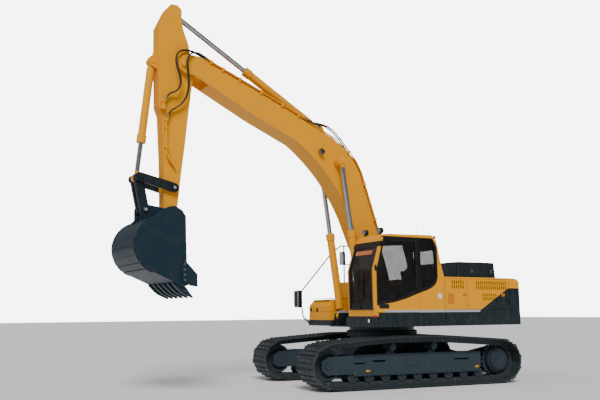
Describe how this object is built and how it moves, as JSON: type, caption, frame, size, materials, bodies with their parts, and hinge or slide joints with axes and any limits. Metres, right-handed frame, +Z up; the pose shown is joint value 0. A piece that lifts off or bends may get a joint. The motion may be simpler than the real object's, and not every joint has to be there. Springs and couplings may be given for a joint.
{
  "type": "crawler excavator",
  "caption": "Crawler excavator of the thirty-tonne class with boom, arm and bucket on a swinging upper structure over two tracks.",
  "frame": {"origin": "on the ground under the swing axis", "axes": "+X forward along the boom, +Y left where the cab is, +Z up"},
  "size_m": [9.094, 4.0035, 7.62],
  "materials": {
    "undercarriage_paint": "satin dark blue-grey paint",
    "track_steel": "dark rolled steel, worn on the grousers",
    "yellow_paint": "gloss orange-yellow paint",
    "dark_paint": "satin dark blue-grey paint",
    "bucket_steel": "dark paint, worn at the lip",
    "chrome_rod": "ground and chromed rod",
    "engine_iron": "painted casting",
    "cooler_metal": "black core",
    "hose_rubber": "black rubber hose",
    "rail_paint": "black tube",
    "lamp_housing": "black moulded housing",
    "seat_cloth": "dark woven cloth",
    "window_glass": "tinted safety glass",
    "cab_plastic": "dark moulded plastic"
  },
  "bodies": {
    "undercarriage": {"carbody": "undercarriage_paint", "swing_bearing": "undercarriage_paint", "track_frame_left": "undercarriage_paint", "track_frame_right": "undercarriage_paint", "idler_left": "undercarriage_paint", "idler_right": "undercarriage_paint", "final_drive_left": "undercarriage_paint", "final_drive_right": "undercarriage_paint", "rollers_left": "undercarriage_paint", "rollers_right": "undercarriage_paint", "track_left": "track_steel", "track_right": "track_steel"},
    "upper": {"revolving_frame": "dark_paint", "counterweight": "dark_paint", "hood": "yellow_paint", "engine": "engine_iron", "radiator": "cooler_metal", "fuel_tank": "yellow_paint", "hydraulic_tank": "yellow_paint", "tool_box": "dark_paint", "handrail": "rail_paint", "mirrors": "lamp_housing", "work_lamps": "lamp_housing", "exhaust_pipe": "lamp_housing", "cab_shell": "yellow_paint", "cab_glass": "window_glass", "seat": "seat_cloth", "consoles": "cab_plastic"},
    "cab_door": {"cab_door": "yellow_paint", "door_glass": "window_glass"},
    "service_door_front": {"service_door_front": "yellow_paint"},
    "service_door_rear": {"service_door_rear": "yellow_paint"},
    "pump_door": {"pump_door": "yellow_paint"},
    "engine_cover": {"engine_cover": "dark_paint"},
    "tool_box_lid": {"tool_box_lid": "yellow_paint"},
    "boom": {"boom": "yellow_paint", "boom_lamp": "lamp_housing", "boom_pipes": "yellow_paint", "front_hose_inner": "hose_rubber", "front_hose_outer": "hose_rubber", "rear_hose_inner": "hose_rubber", "rear_hose_outer": "hose_rubber", "hump_hose_inner": "hose_rubber", "hump_hose_outer": "hose_rubber"},
    "boom_barrels": {"boom_barrels": "yellow_paint"},
    "boom_rods": {"boom_rods": "chrome_rod"},
    "arm_barrel": {"arm_barrel": "yellow_paint"},
    "arm_rod": {"arm_rod": "chrome_rod"},
    "arm": {"arm": "yellow_paint", "arm_pipes": "yellow_paint"},
    "bucket_barrel": {"bucket_barrel": "yellow_paint"},
    "bucket_rod": {"bucket_rod": "chrome_rod"},
    "rocker": {"rocker": "dark_paint"},
    "bucket_link": {"bucket_link": "dark_paint"},
    "bucket": {"bucket": "bucket_steel", "bucket_teeth": "bucket_steel", "side_cutters": "bucket_steel"}
  },
  "joints": [
    {"name": "swing", "type": "hinge", "parent": "undercarriage", "child": "upper", "pos_m": [0, 0, 1.11], "axis": [0, 0, 1], "continuous": true},
    {"name": "boom_lift", "type": "hinge", "parent": "upper", "child": "boom", "pos_m": [0.08, 0, 1.98], "axis": [0, -1, 0], "range_deg": [-85, 3]},
    {"name": "arm_swing", "type": "hinge", "parent": "boom", "child": "arm", "pos_m": [4.86, 0, 6.395], "axis": [0, 1, 0], "range_deg": [-95, 4]},
    {"name": "bucket_curl", "type": "hinge", "parent": "arm", "child": "bucket", "pos_m": [5.08, 0, 3.35], "axis": [0, 1, 0], "range_deg": [-50, 115]},
    {"name": "boom_barrel_tilt", "type": "hinge", "parent": "upper", "child": "boom_barrels", "pos_m": [0.8, 0, 1.42], "axis": [0, -1, 0], "range_deg": [-88.74, 4.1]},
    {"name": "boom_rod_slide", "type": "slide", "parent": "boom_barrels", "child": "boom_rods", "axis": [0.1442, 0, 0.9896], "range_m": [-1.228, 0.053]},
    {"name": "arm_barrel_tilt", "type": "hinge", "parent": "boom", "child": "arm_barrel", "pos_m": [1.673, 0, 5.517], "axis": [0, 1, 0], "range_deg": [-1.89, 1.04]},
    {"name": "arm_rod_slide", "type": "slide", "parent": "arm_barrel", "child": "arm_rod", "axis": [0.8636, 0, 0.5041], "range_m": [-1.665, 0.08]},
    {"name": "rocker_swing", "type": "hinge", "parent": "arm", "child": "rocker", "pos_m": [5.017, 0, 3.895], "axis": [0, 1, 0], "range_deg": [-34.57, 78.21]},
    {"name": "bucket_link_swing", "type": "hinge", "parent": "rocker", "child": "bucket_link", "pos_m": [5.705, 0, 4.06], "axis": [0, 1, 0], "range_deg": [-54.87, 24.42]},
    {"name": "bucket_barrel_tilt", "type": "hinge", "parent": "arm", "child": "bucket_barrel", "pos_m": [5.456, 0, 6.405], "axis": [0, 1, 0], "range_deg": [-4.01, 7.92]},
    {"name": "bucket_rod_slide", "type": "slide", "parent": "bucket_barrel", "child": "bucket_rod", "axis": [0.1056, 0, -0.9944], "range_m": [-0.36, 0.815]},
    {"name": "cab_door_hinge", "type": "hinge", "parent": "upper", "child": "cab_door", "pos_m": [0.129, 1.5043, 2], "axis": [0, 0, 1], "range_deg": [0, 165]},
    {"name": "service_door_front_hinge", "type": "hinge", "parent": "upper", "child": "service_door_front", "pos_m": [-1.189, 1.5043, 1.8], "axis": [0, 0, 1], "range_deg": [0, 100]},
    {"name": "service_door_rear_hinge", "type": "hinge", "parent": "upper", "child": "service_door_rear", "pos_m": [-2.453, 1.5043, 1.8], "axis": [0, 0, 1], "range_deg": [0, 100]},
    {"name": "pump_door_hinge", "type": "hinge", "parent": "upper", "child": "pump_door", "pos_m": [-2.453, -1.4943, 1.8], "axis": [0, 0, -1], "range_deg": [0, 100]},
    {"name": "engine_cover_hinge", "type": "hinge", "parent": "upper", "child": "engine_cover", "pos_m": [-1.271, 0, 2.2493], "axis": [0, 1, 0], "range_deg": [0, 60]},
    {"name": "tool_box_lid_hinge", "type": "hinge", "parent": "upper", "child": "tool_box_lid", "pos_m": [0.291, 0, 1.796], "axis": [0, -1, 0], "range_deg": [0, 75]}
  ],
  "couplings": [
    {"joint": "boom_barrel_tilt", "follows": "boom_lift", "ratio": 1.0322},
    {"joint": "boom_rod_slide", "follows": "boom_lift", "m_per_rad": 0.8212},
    {"joint": "arm_barrel_tilt", "follows": "arm_swing", "ratio": 0.0094},
    {"joint": "arm_rod_slide", "follows": "arm_swing", "m_per_rad": 0.9983},
    {"joint": "rocker_swing", "follows": "bucket_curl", "ratio": 0.67138},
    {"joint": "bucket_link_swing", "follows": "bucket_curl", "ratio": -0.46841},
    {"joint": "bucket_barrel_tilt", "follows": "bucket_curl", "ratio": 0.06015},
    {"joint": "bucket_rod_slide", "follows": "bucket_curl", "m_per_rad": 0.40127}
  ]
}
